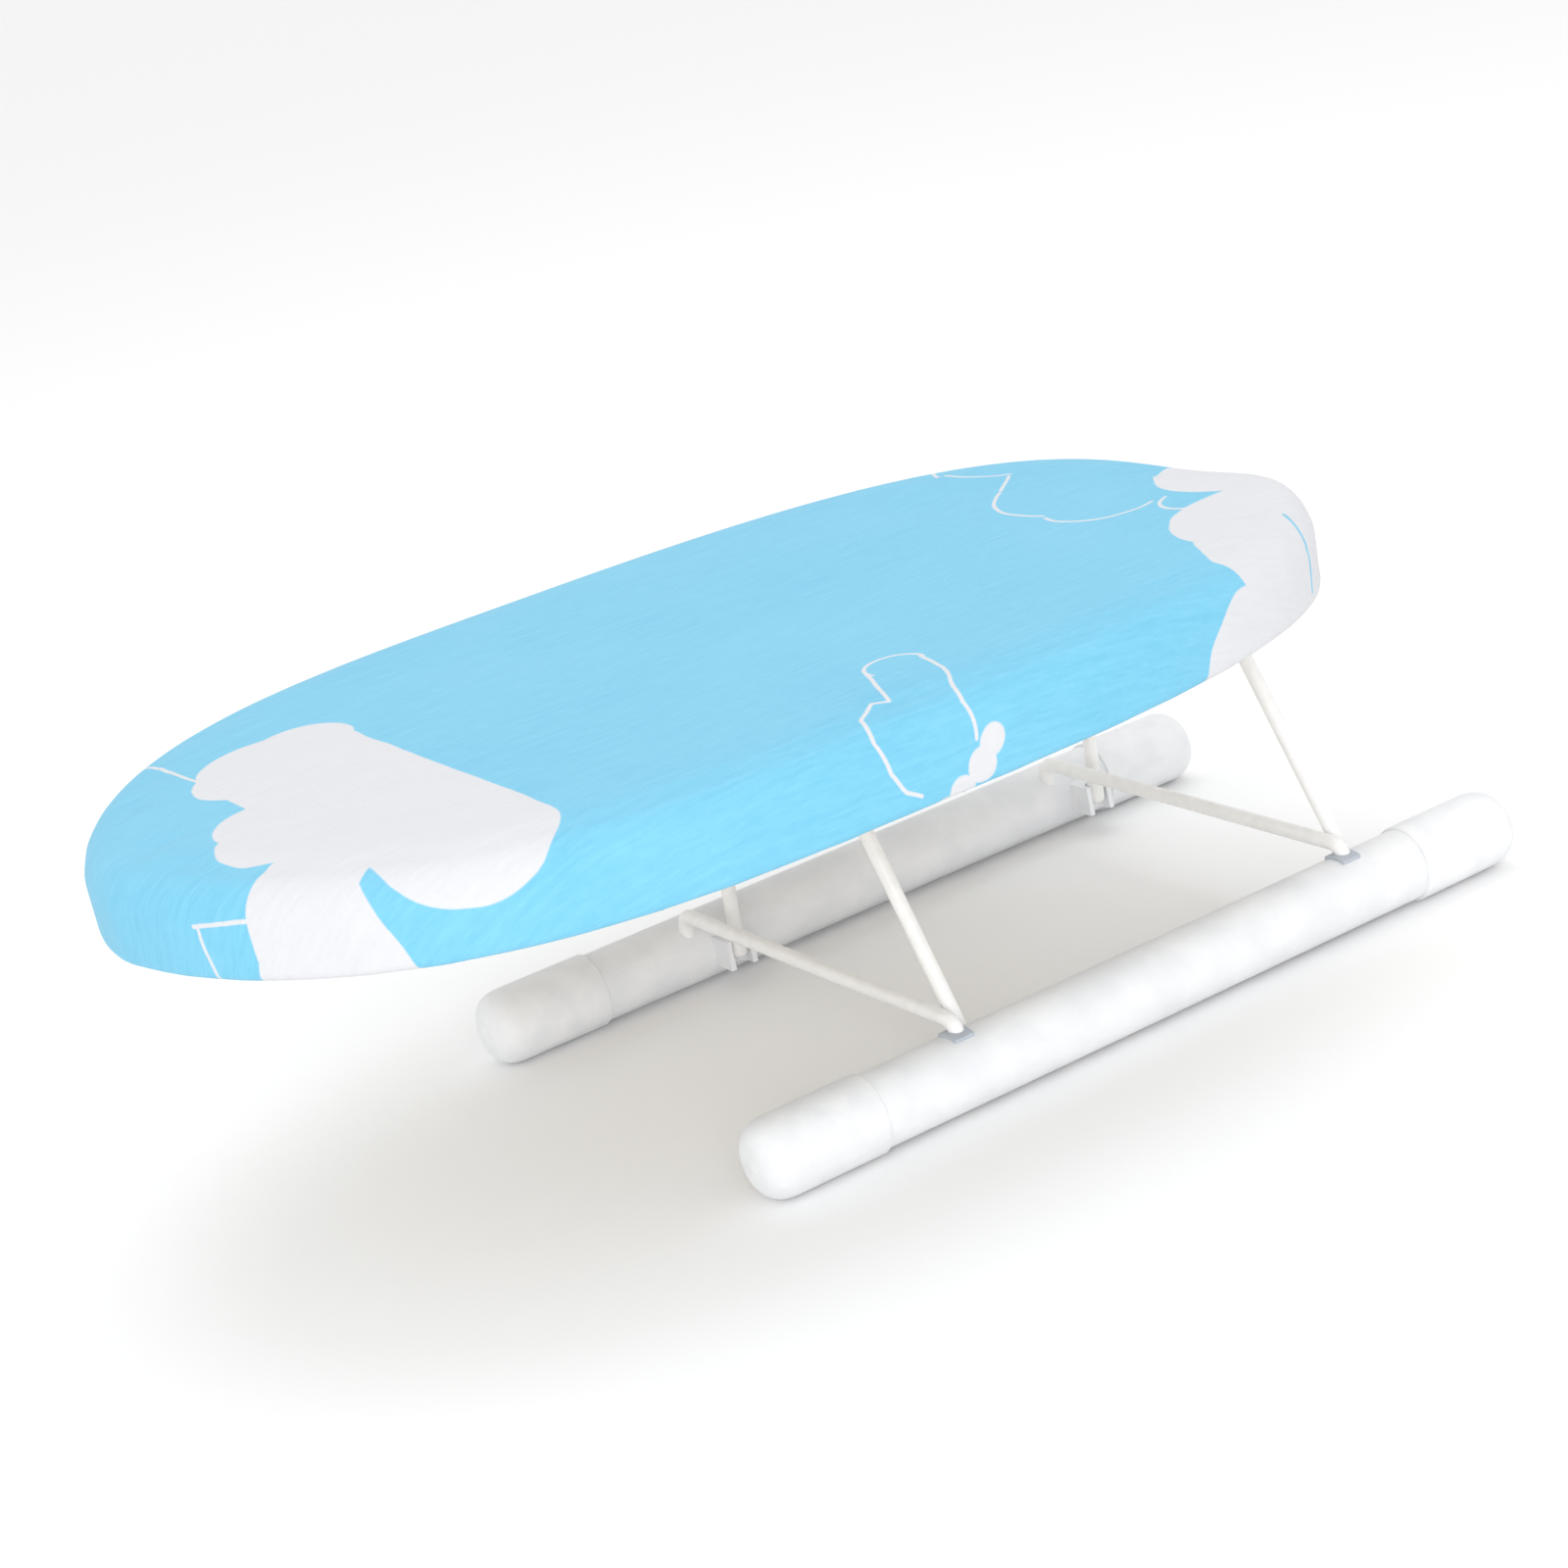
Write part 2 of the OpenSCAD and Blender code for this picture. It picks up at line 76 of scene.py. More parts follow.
def named(name):
    piece = bpy.context.object
    piece.name = piece.data.name = name
    return piece


def pick(piece, kind, test):
    """Select the vertices, edges or faces whose middle passes the test, and stay in edit mode."""
    bpy.ops.object.mode_set(mode="EDIT")
    bpy.ops.mesh.select_mode(type={"vertices": "VERT", "edges": "EDGE", "polygons": "FACE"}[kind])
    bpy.ops.mesh.select_all(action="DESELECT")
    bpy.ops.object.mode_set(mode="OBJECT")
    points = piece.data.vertices
    count = 0
    for part in getattr(piece.data, kind):
        if kind == "vertices":
            middle = part.co
        elif kind == "edges":
            middle = (points[part.vertices[0]].co + points[part.vertices[1]].co) / 2
        else:
            middle = part.center
        part.select = bool(test(middle, part))
        count += part.select
    bpy.ops.object.mode_set(mode="EDIT")
    return count


def place_in_mesh(piece):
    only(piece)
    bpy.ops.object.transform_apply(location=True, rotation=True, scale=True)
    return piece


def apply_modifiers(piece):
    only(piece)
    for modifier in list(piece.modifiers):
        bpy.ops.object.modifier_apply(modifier=modifier.name)
    return piece


def copied(piece, name, matrix):
    """A copy with a mesh of its own, moved by the matrix."""
    twin = piece.copy()
    twin.data = piece.data.copy()
    twin.name = twin.data.name = name
    twin.data.transform(matrix)
    scene.collection.objects.link(twin)
    return twin

# %% [markdown]
# ## Camera
# A product view from the nose side and a little above, with a moderate telephoto lens, so the
# two feet stay almost parallel. The small roll tips the board's far end upwards.

# %% Camera
lens_data = bpy.data.cameras.new("product_view")
lens_data.lens = 79.33
lens_data.sensor_width = 36
lens_data.clip_start = 0.01
camera = bpy.data.objects.new("product_view", lens_data)
camera.location = (-0.7104, -1.2832, 0.6199)
camera.rotation_euler = [math.radians(a) for a in (71.0, 11.36, -33.05)]
scene.collection.objects.link(camera)
scene.camera = camera
print("camera is", round(camera.location.length, 2), "m from the middle of the floor")

# %% [markdown]
# ## Floor and light
# The board stands in a bright studio: a pale floor, a white surround that lights everything
# softly, and one large lamp at the front so that the padded side is a little brighter than the
# flat top. The plain view transform keeps pale blue and white as they are mixed.

# %% Floor
nothing_selected()
bpy.ops.mesh.primitive_plane_add(size=24, location=(0, 0, 0))
floor = named("studio_floor")

floor_paint = bpy.data.materials.new("studio_floor_paint")
floor_paint.use_nodes = True
floor_paint.node_tree.nodes["Principled BSDF"].inputs["Base Color"].default_value = (0.95, 0.95, 0.95, 1)
floor_paint.node_tree.nodes["Principled BSDF"].inputs["Roughness"].default_value = 0.9
floor_paint.node_tree.nodes["Principled BSDF"].inputs["Specular IOR Level"].default_value = 0.1
floor.data.materials.append(floor_paint)

# %% Lights
surround = bpy.data.worlds.new("white_surround")
surround.use_nodes = True
surround.node_tree.nodes["Background"].inputs["Color"].default_value = (1.0, 1.0, 1.0, 1)
surround.node_tree.nodes["Background"].inputs["Strength"].default_value = 0.96
scene.world = surround
scene.view_settings.view_transform = "Standard"


def soft_lamp(name, place, aim, size, power):
    data = bpy.data.lights.new(name, "AREA")
    data.shape = "DISK"
    data.size = size
    data.energy = power
    lamp = bpy.data.objects.new(name, data)
    lamp.location = place
    lamp.rotation_euler = (Vector(aim) - Vector(place)).to_track_quat("-Z", "Y").to_euler()
    scene.collection.objects.link(lamp)


soft_lamp("front_lamp", (-1.3, -2.2, 0.9), (0, 0, 0.12), 1.6, 26)
soft_lamp("top_lamp", (0.4, 0.6, 2.4), (0, 0, 0.1), 2.0, 10)

# %% [markdown]
# ## Shader helpers
# A material here is a small calculation: coordinates go in, and colour, roughness and bump come
# out. These helpers add one node at a time and join it to what it reads.

# %% Node helpers
def add(tree, kind, inputs=None, **settings):
    node = tree.nodes.new(kind)
    for name, value in settings.items():
        setattr(node, name, value)
    for key, value in (inputs or {}).items():
        if isinstance(value, bpy.types.NodeSocket):
            tree.links.new(value, node.inputs[key])
        else:
            node.inputs[key].default_value = value
    return node


def calc(tree, operation, *values, clamp=False):
    node = add(tree, "ShaderNodeMath", dict(enumerate(values)), operation=operation, use_clamp=clamp)
    return node.outputs[0]


def vector(tree, operation, *values):
    node = add(tree, "ShaderNodeVectorMath", dict(enumerate(values)), operation=operation)
    return node.outputs["Value" if operation in ("LENGTH", "DOT_PRODUCT", "DISTANCE") else "Vector"]


def ramp(tree, value, low, high, to_low=0.0, to_high=1.0):
    node = add(tree, "ShaderNodeMapRange", {"Value": value, "From Min": low, "From Max": high,
                                            "To Min": to_low, "To Max": to_high})
    return node.outputs["Result"]


def mixed(tree, share, first, second):
    node = add(tree, "ShaderNodeMix", {"Factor": share}, data_type="RGBA")
    for key, value in ((6, first), (7, second)):
        if isinstance(value, bpy.types.NodeSocket):
            tree.links.new(value, node.inputs[key])
        else:
            node.inputs[key].default_value = (*value, 1)
    return node.outputs[2]


def noise(tree, where, scale, detail=2.0, roughness=0.5):
    node = add(tree, "ShaderNodeTexNoise", {"Vector": where, "Scale": scale, "Detail": detail,
                                            "Roughness": roughness})
    return node.outputs["Fac"]


def stretched(tree, where, scale, turn=(0, 0, 0)):
    node = add(tree, "ShaderNodeMapping", {"Vector": where, "Scale": scale, "Rotation": turn})
    return node.outputs["Vector"]


def group(name, inputs, outputs):
    tree = bpy.data.node_groups.new(name, "ShaderNodeTree")
    for label, kind, value in inputs:
        socket = tree.interface.new_socket(label, in_out="INPUT", socket_type=kind)
        if value is not None:
            socket.default_value = value
    for label, kind in outputs:
        tree.interface.new_socket(label, in_out="OUTPUT", socket_type=kind)
    return tree, tree.nodes.new("NodeGroupInput").outputs, tree.nodes.new("NodeGroupOutput").inputs


def use(tree, shared, inputs):
    """One placing of a shared node group, with its own values."""
    return add(tree, "ShaderNodeGroup", inputs, node_tree=shared).outputs


def finish_of(name, **sockets):
    """A material with a Principled shader, and the numbers that are the same all over the piece."""
    material = bpy.data.materials.new(name)
    material.use_nodes = True
    shader = material.node_tree.nodes["Principled BSDF"]
    for label, value in sockets.items():
        shader.inputs[label.replace("_", " ")].default_value = value
    return material, material.node_tree, shader.inputs


def object_place(tree):
    return add(tree, "ShaderNodeTexCoord").outputs["Object"]


def bumped(tree, height, strength, distance):
    node = add(tree, "ShaderNodeBump", {"Height": height, "Strength": strength, "Distance": distance})
    return node.outputs["Normal"]

# %% [markdown]
# ## Shared surface effects
# Moulded plastic and powder-coated steel both have a fine skin: a slow unevenness from moulding or
# spraying, and a much finer grain. Both come from noise in object space, so the skin stays the same
# size on every piece. The group puts out a height for the bump and a mask for colour and roughness.

# %% Fine skin
skin, reads, gives = group(
    "fine_skin",
    [("Place", "NodeSocketVector", None), ("Grain size", "NodeSocketFloat", 900.0),
     ("Wave size", "NodeSocketFloat", 60.0), ("Wave share", "NodeSocketFloat", 0.5)],
    [("Height", "NodeSocketFloat"), ("Patches", "NodeSocketFloat")])
fine = noise(skin, reads["Place"], reads["Grain size"], 3.0, 0.6)
slow = noise(skin, reads["Place"], reads["Wave size"], 2.0, 0.5)
blend = add(skin, "ShaderNodeMix", {"Factor": reads["Wave share"], 2: fine, 3: slow}, data_type="FLOAT")
skin.links.new(blend.outputs[0], gives["Height"])
skin.links.new(ramp(skin, slow, 0.35, 0.65), gives["Patches"])

# %% [markdown]
# A faint grey is mixed into the colour low down, towards the floor.
# The mask is strongest at the floor and broken up by noise.

# %% Greyer near the floor
low_greying, reads, gives = group(
    "greyed_near_floor",
    [("Place", "NodeSocketVector", None), ("Reach", "NodeSocketFloat", 0.02)],
    [("Mask", "NodeSocketFloat")])
height = add(low_greying, "ShaderNodeSeparateXYZ", {0: reads["Place"]}).outputs["Z"]
low_down = calc(low_greying, "SUBTRACT", 1.0, calc(low_greying, "DIVIDE", height, reads["Reach"]), clamp=True)
streaks = noise(low_greying, stretched(low_greying, reads["Place"], (20, 160, 160)), 4.0, 3.0, 0.6)
low_greying.links.new(calc(low_greying, "MULTIPLY", low_down, ramp(low_greying, streaks, 0.5, 0.7)), gives["Mask"])

# %% [markdown]
# ## Plain weave
# Cotton cloth is two sets of threads, over and under. Two waves at right angles give the threads,
# and a checker of both decides which set is on top. Long thin noise adds the slubs, the thicker
# places in a yarn, which show as faint streaks along the board. It reads the cover's own UV map,
# which is laid out in metres, so the weave follows the cloth over the edge.

# %% Weave group
weave, reads, gives = group(
    "plain_weave",
    [("Cloth", "NodeSocketVector", None), ("Threads", "NodeSocketFloat", 1300.0)],
    [("Height", "NodeSocketFloat"), ("Slubs", "NodeSocketFloat")])
half_waves = calc(weave, "MULTIPLY", reads["Threads"], math.pi)
scaled = add(weave, "ShaderNodeVectorMath", {0: reads["Cloth"], "Scale": half_waves}, operation="SCALE")
lanes = add(weave, "ShaderNodeSeparateXYZ", {0: scaled.outputs["Vector"]})
warp = calc(weave, "SINE", lanes.outputs["X"])
weft = calc(weave, "SINE", lanes.outputs["Y"])
over = calc(weave, "MULTIPLY", warp, weft)
weave.links.new(ramp(weave, over, -1.0, 1.0), gives["Height"])
long_slubs = noise(weave, stretched(weave, reads["Cloth"], (28, 330, 1)), 1.0, 3.0, 0.65)
short_slubs = noise(weave, stretched(weave, reads["Cloth"], (130, 620, 1)), 1.0, 2.0, 0.6)
slubs = calc(weave, "ADD", calc(weave, "MULTIPLY", long_slubs, 0.6),
             calc(weave, "MULTIPLY", short_slubs, 0.4))
weave.links.new(ramp(weave, slubs, 0.36, 0.64), gives["Slubs"])

# %% [markdown]
# ## Cloud print
# The cover is printed with plain rounded clouds, some solid and some in outline. A solid cloud is
# the union of a few discs: the distance to each edge is worked out, and the smallest wins. An
# outline is a thin stroke or a slice of a ring. All places are in metres on the flat cloth.

# %% Distance helpers
def disc(tree, cloth, x, y, radius):
    return calc(tree, "SUBTRACT", vector(tree, "DISTANCE", cloth, (x, y, 0)), radius)


def union(tree, distances):
    least = distances[0]
    for distance in distances[1:]:
        least = calc(tree, "MINIMUM", least, distance)
    return least


stroke, reads, gives = group(
    "printed_stroke",
    [("Cloth", "NodeSocketVector", None), ("From", "NodeSocketVector", None),
     ("To", "NodeSocketVector", None)],
    [("Distance", "NodeSocketFloat")])
away = vector(stroke, "SUBTRACT", reads["Cloth"], reads["From"])
along = vector(stroke, "SUBTRACT", reads["To"], reads["From"])
share = calc(stroke, "DIVIDE", vector(stroke, "DOT_PRODUCT", away, along),
             vector(stroke, "DOT_PRODUCT", along, along), clamp=True)
foot = add(stroke, "ShaderNodeVectorMath", {0: along, "Scale": share}, operation="SCALE").outputs["Vector"]
stroke.links.new(vector(stroke, "DISTANCE", away, foot), gives["Distance"])

arc, reads, gives = group(
    "printed_arc",
    [("Cloth", "NodeSocketVector", None), ("Centre", "NodeSocketVector", None),
     ("Radius", "NodeSocketFloat", 0.02), ("Facing", "NodeSocketVector", None),
     ("Cut", "NodeSocketFloat", 0.0)],
    [("Distance", "NodeSocketFloat")])
away = vector(arc, "SUBTRACT", reads["Cloth"], reads["Centre"])
ring = calc(arc, "ABSOLUTE", calc(arc, "SUBTRACT", vector(arc, "LENGTH", away), reads["Radius"]))
behind = calc(arc, "SUBTRACT", reads["Cut"], vector(arc, "DOT_PRODUCT", away, reads["Facing"]))
arc.links.new(calc(arc, "MAXIMUM", ring, behind), gives["Distance"])

# %% Cloud shapes, in millimetres on the flat cloth
MM = 0.001
# A lobe is (x, y, radius); a band is (from, to, radius); a stroke is (from, to)
solid_lobes = [(-187, 65, 23), (-218, 42, 29), (-237, -24, 29), (-248, -46, 28), (-300, -134, 41),
               (262, -42, 46), (214, -114, 47), (206, -146, 50), (164, -190, 30), (168, -215, 32),
               (262, -110, 58), (236, -185, 66),
               (5, -193, 6.5), (-1, -201, 7.5), (-12, -209, 7), (-20, -214, 5)]
solid_bands = [((-204, 50), (-205, -124), 37), ((-256, -92), (-292, -114), 24),
               ((-264, -104), (-279, -150), 18)]
line_strokes = [((13, -122), (9, -145)), ((9, -145), (-3, -175)), ((-3, -175), (-3, -190)),
                ((-12, -119), (-26, -157)), ((-26, -157), (-33, -154)), ((-33, -154), (-44, -164)),
                ((-44, -164), (-49, -178)), ((-49, -178), (-47, -191)), ((-47, -191), (-41, -200)),
                ((-41, -200), (-34, -204)), ((203, 71), (184, 52)),
                ((-238, 60), (-241, 150)), ((-304, -60), (-287, -87)), ((-303, -62), (-335, -80))]
blue_strokes = [((218, -115), (214, -138)), ((214, -138), (226, -152))]
# An arc is (x, y, radius, the way it faces, how far from its centre it is cut)
line_arcs = [(1, -121, 13, (0, 1), -2), (239, 107, 47, (-0.94, 0.33), 20), (205, 12, 44, (-0.96, 0.28), 33),
             (190, -18, 27, (-0.65, -0.76), 12), (214, -60, 17, (-1, 0), 6)]
# Half the width of a printed line, and the softness of its edge, in metres
LINE, SOFT = 0.0009, 0.0003
# How far the hand-drawn edges wander, in metres
WANDER = 0.003

prints, reads, gives = group(
    "cloud_print", [("Cloth", "NodeSocketVector", None)],
    [("White", "NodeSocketFloat")])
wobble = add(prints, "ShaderNodeTexNoise", {"Vector": reads["Cloth"], "Scale": 40.0, "Detail": 1.0})
wobble = vector(prints, "SUBTRACT", wobble.outputs["Color"], (0.5, 0.5, 0.5))
cloth = vector(prints, "MULTIPLY_ADD", wobble, (WANDER, WANDER, 0), reads["Cloth"])


def stroke_distance(start, end, radius=0):
    found = use(prints, stroke, {"Cloth": cloth, "From": (start[0] * MM, start[1] * MM, 0),
                                 "To": (end[0] * MM, end[1] * MM, 0)})["Distance"]
    return calc(prints, "SUBTRACT", found, radius * MM) if radius else found


def arc_distance(x, y, radius, facing, cut):
    return use(prints, arc, {"Cloth": cloth, "Centre": (x * MM, y * MM, 0), "Radius": radius * MM,
                             "Facing": Vector((*facing, 0)).normalized(), "Cut": cut * MM})["Distance"]


solid = union(prints, [disc(prints, cloth, x * MM, y * MM, r * MM) for x, y, r in solid_lobes]
              + [stroke_distance(*band) for band in solid_bands])
lines = union(prints, [stroke_distance(*pair) for pair in line_strokes]
              + [arc_distance(*a) for a in line_arcs])
gaps = union(prints, [stroke_distance(*pair) for pair in blue_strokes])
white = calc(prints, "MAXIMUM", ramp(prints, solid, 0.0004, -0.0004),
             ramp(prints, lines, LINE + SOFT, LINE - SOFT))
blue = ramp(prints, gaps, LINE + SOFT, LINE - SOFT)
prints.links.new(calc(prints, "SUBTRACT", white, blue, clamp=True), gives["White"])
print("cloud print:", len(solid_lobes), "lobes,", len(solid_bands), "bands,",
      len(line_strokes + line_arcs), "lines")

# %% [markdown]
# ## Materials
# Each finish gets its own Principled shader. Values that are the same all over the surface sit on
# the shader itself; only what changes from place to place comes through nodes.

# %% Printed cotton
cotton, tree, shader = finish_of("cloud_cotton", Roughness=0.85, Sheen_Weight=0.12, Sheen_Roughness=0.5)
shader["Specular IOR Level"].default_value = 0.2
cloth_map = add(tree, "ShaderNodeUVMap", uv_map="ClothMetres").outputs["UV"]
threads = use(tree, weave, {"Cloth": cloth_map, "Threads": 1300.0})
white_mask = use(tree, prints, {"Cloth": cloth_map})["White"]
blue_dye = mixed(tree, threads["Slubs"], (0.165, 0.500, 0.700), (0.210, 0.560, 0.755))
white_dye = mixed(tree, threads["Slubs"], (0.655, 0.660, 0.685), (0.685, 0.690, 0.715))
fade = noise(tree, cloth_map, 9.0, 2.0)
blue_faded = mixed(tree, ramp(tree, fade, 0.35, 0.7, 0.0, 0.25), blue_dye, (0.25, 0.60, 0.78))
tree.links.new(mixed(tree, white_mask, blue_faded, white_dye), shader["Base Color"])
tree.links.new(ramp(tree, threads["Slubs"], 0, 1, 0.8, 0.92), shader["Roughness"])
relief = calc(tree, "ADD", calc(tree, "MULTIPLY", threads["Height"], 0.5), threads["Slubs"])
tree.links.new(bumped(tree, relief, 0.35, 0.0003), shader["Normal"])

# %% Moulded plastic for the feet and their caps
def moulded(name, colour, patch, grain, wave, rough, depth):
    material, tree, shader = finish_of(name, Roughness=rough)
    where = object_place(tree)
    surface = use(tree, skin, {"Place": where, "Grain size": grain, "Wave size": wave, "Wave share": 0.35})
    low_grey = use(tree, low_greying, {"Place": where, "Reach": 0.012})["Mask"]
    plain = mixed(tree, surface["Patches"], colour, patch)
    # A faint grey mixed in low down, strongest at the floor and broken into streaks.
    greyed_low = mixed(tree, calc(tree, "MULTIPLY", low_grey, 0.35), plain, (0.55, 0.54, 0.52))
    tree.links.new(greyed_low, shader["Base Color"])
    tree.links.new(ramp(tree, surface["Height"], 0.3, 0.7, rough - 0.06, rough + 0.08), shader["Roughness"])
    tree.links.new(bumped(tree, surface["Height"], 0.5, depth), shader["Normal"])
    return material


tube_plastic = moulded("tube_plastic", (0.77, 0.78, 0.80), (0.84, 0.845, 0.855), 420.0, 45.0, 0.55, 0.0006)
cap_plastic = moulded("cap_plastic", (0.79, 0.80, 0.82), (0.85, 0.855, 0.865), 520.0, 70.0, 0.5, 0.0004)
# The fittings' dark grey-blue is painted shade: it stands in for the shaded hollows at the ends of the stays.
grey_fitting = moulded("grey_fitting", (0.42, 0.46, 0.52), (0.48, 0.52, 0.57), 800.0, 120.0, 0.5, 0.0002)
soft_tip = moulded("soft_tip", (0.82, 0.82, 0.80), (0.86, 0.86, 0.84), 700.0, 90.0, 0.7, 0.0002)

# %% Powder-coated wire
white_wire, tree, shader = finish_of("white_wire", Roughness=0.38, Coat_Weight=0.15, Coat_Roughness=0.2)
where = object_place(tree)
surface = use(tree, skin, {"Place": where, "Grain size": 1500.0, "Wave size": 160.0, "Wave share": 0.6})
low_grey = use(tree, low_greying, {"Place": where, "Reach": 0.03})["Mask"]
coat = mixed(tree, surface["Patches"], (0.87, 0.865, 0.85), (0.91, 0.905, 0.895))
# A faint grey mixed in low down, strongest at the floor and broken into streaks.
tree.links.new(mixed(tree, calc(tree, "MULTIPLY", low_grey, 0.3), coat, (0.6, 0.59, 0.56)), shader["Base Color"])
tree.links.new(ramp(tree, surface["Height"], 0.3, 0.7, 0.33, 0.46), shader["Roughness"])
tree.links.new(bumped(tree, surface["Height"], 0.4, 0.0002), shader["Normal"])

# %% Zinc-plated screws
screw_steel, tree, shader = finish_of("screw_steel", Roughness=0.3, Metallic=1.0)
where = object_place(tree)
surface = use(tree, skin, {"Place": where, "Grain size": 2500.0, "Wave size": 400.0, "Wave share": 0.4})
tree.links.new(mixed(tree, surface["Patches"], (0.60, 0.60, 0.58), (0.70, 0.70, 0.69)), shader["Base Color"])
tree.links.new(ramp(tree, surface["Height"], 0.3, 0.7, 0.22, 0.42), shader["Roughness"])
tree.links.new(bumped(tree, surface["Height"], 0.3, 0.0001), shader["Normal"])

# %% Particle board panel
panel_board, tree, shader = finish_of("panel_board", Roughness=0.7)
where = object_place(tree)
chips = add(tree, "ShaderNodeTexVoronoi", {"Vector": stretched(tree, where, (260, 420, 420)), "Scale": 1.0,
                                           "Randomness": 1.0})
dust = noise(tree, where, 1200.0, 3.0, 0.7)
tone = ramp(tree, add(tree, "ShaderNodeSeparateColor", {0: chips.outputs["Color"]}).outputs[0], 0, 1)
chip_colour = mixed(tree, tone, (0.50, 0.42, 0.32), (0.72, 0.65, 0.55))
dusted = mixed(tree, ramp(tree, dust, 0.55, 0.7, 0.0, 0.6), chip_colour, (0.42, 0.34, 0.25))
tree.links.new(dusted, shader["Base Color"])
tree.links.new(ramp(tree, dust, 0.3, 0.7, 0.62, 0.8), shader["Roughness"])
tree.links.new(bumped(tree, dust, 0.4, 0.0003), shader["Normal"])

# %% Foam and elastic
pad_foam, tree, shader = finish_of("pad_foam", Roughness=0.95)
where = object_place(tree)
cells = add(tree, "ShaderNodeTexVoronoi", {"Vector": where, "Scale": 700.0}).outputs["Distance"]
tree.links.new(mixed(tree, cells, (0.60, 0.56, 0.44), (0.84, 0.80, 0.68)), shader["Base Color"])
tree.links.new(bumped(tree, cells, 0.6, 0.0006), shader["Normal"])

white_elastic, tree, shader = finish_of("white_elastic", Roughness=0.8)
where = object_place(tree)
cords = use(tree, weave, {"Cloth": where, "Threads": 1600.0})
tree.links.new(mixed(tree, cords["Height"], (0.74, 0.74, 0.72), (0.86, 0.86, 0.85)), shader["Base Color"])
tree.links.new(bumped(tree, cords["Height"], 0.5, 0.0003), shader["Normal"])

# %% [markdown]
# The record names one finish for every node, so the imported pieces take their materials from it.

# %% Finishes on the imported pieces
finishes = {"tube_plastic": tube_plastic, "cap_plastic": cap_plastic, "grey_fitting": grey_fitting,
            "soft_tip": soft_tip, "white_wire": white_wire, "screw_steel": screw_steel,
            "panel_board": panel_board, "pad_foam": pad_foam, "white_elastic": white_elastic,
            "cloud_cotton": cotton}
for row in frame["record"]["subparts"]:
    node = frame["nodes"][row["node"]]
    finish = finishes[row["material_slot"]]
    if not node.material_slots:
        node.data.materials.append(finish)
    for place in node.material_slots:
        place.material = finish

# %% [markdown]
# ## End caps
# Each foot ends in a moulded cap with a flattened dome, pushed over the tube. A cylinder is the
# right start: a wide bevel with many segments rounds one end, and the other end is opened up with
# an inset and an extrusion. All four are the same moulding, so one is made and three are copies.

# %% One end cap
# The rounded end's radius, the depth of solid end behind it, and how near counts as on a face
DOME_R, SOLID_END, NEAR = 0.0145, 0.0155, 1e-4
low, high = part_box("near_nose_end_cap")
cap_radius = (high.z - low.z) / 2
cap_length = high.x - low.x
cap_middle = (low + high) / 2
nothing_selected()
bpy.ops.mesh.primitive_cylinder_add(vertices=96, radius=cap_radius, depth=cap_length,
                                    location=cap_middle, rotation=(0, math.pi / 2, 0))
nose_cap = place_in_mesh(named("near_nose_cap"))


def from_axis(m):
    return (m.yz - cap_middle.yz).length


pick(nose_cap, "edges", lambda m, e: m.x < low.x + NEAR and from_axis(m) > cap_radius * 0.9)
bpy.ops.mesh.bevel(offset=DOME_R, segments=16, profile=0.58, affect="EDGES")
pick(nose_cap, "polygons", lambda m, f: f.normal.x < -0.999 and f.area > 1e-5)
for step in range(4):
    bpy.ops.mesh.inset(thickness=0.0009)
    bpy.ops.transform.translate(value=(-0.00022 + step * 0.00005, 0, 0))
bpy.ops.mesh.poke()
pick(nose_cap, "polygons", lambda m, f: f.normal.x > 0.999)
tube_low, tube_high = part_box("near_foot_tube")
wall = cap_radius - (tube_high.z - tube_low.z) / 2
bpy.ops.mesh.inset(thickness=wall)
bpy.ops.mesh.extrude_region_move(TRANSFORM_OT_translate={"value": (SOLID_END - cap_length, 0, 0)})
pick(nose_cap, "edges", lambda m, e: m.x > high.x - NEAR and from_axis(m) > cap_radius - wall / 2)
bpy.ops.mesh.bevel(offset=0.0005, segments=3, profile=0.5, affect="EDGES")
bpy.ops.mesh.select_all(action="SELECT")
bpy.ops.mesh.remove_doubles(threshold=1e-6)
bpy.ops.mesh.normals_make_consistent(inside=False)
nothing_selected()
only(nose_cap)
bpy.ops.object.shade_smooth_by_angle(angle=math.radians(35))
print("cap:", len(nose_cap.data.polygons), "faces, radius", round(cap_radius, 4))

# %% The other three caps
far_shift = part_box("far_nose_end_cap")[0].y - low.y
tail_middle = (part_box("near_tail_end_cap")[0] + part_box("near_tail_end_cap")[1]) / 2
half_turn = (Matrix.Translation(tail_middle) @ Matrix.Rotation(math.pi, 4, "Z")
             @ Matrix.Translation(-cap_middle))
across = Matrix.Translation((0, far_shift, 0))
caps = {"near_nose_end_cap": nose_cap,
        "far_nose_end_cap": copied(nose_cap, "far_nose_cap", across),
        "near_tail_end_cap": copied(nose_cap, "near_tail_cap", half_turn),
        "far_tail_end_cap": copied(nose_cap, "far_tail_cap", across @ half_turn)}
for node, cap in caps.items():
    cap.data.materials.clear()
    cap.data.materials.append(cap_plastic)
    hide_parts(node)
    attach(cap, "base")

# %% [markdown]
# ## Screws
# The blocks and bearings are held by plated pan-head screws. The head is a short cylinder whose
# rim is bevelled round, and the cross recess is cut with a Boolean by a cross of two tapered bars.
# The shank is hidden in the wood, so it only needs its thread's outline.

# %% One screw, head up, with the head's seat at the origin
HEAD_R, HEAD_H, SHANK_R, THREAD = 0.0035, 0.0022, 0.00175, 0.0013


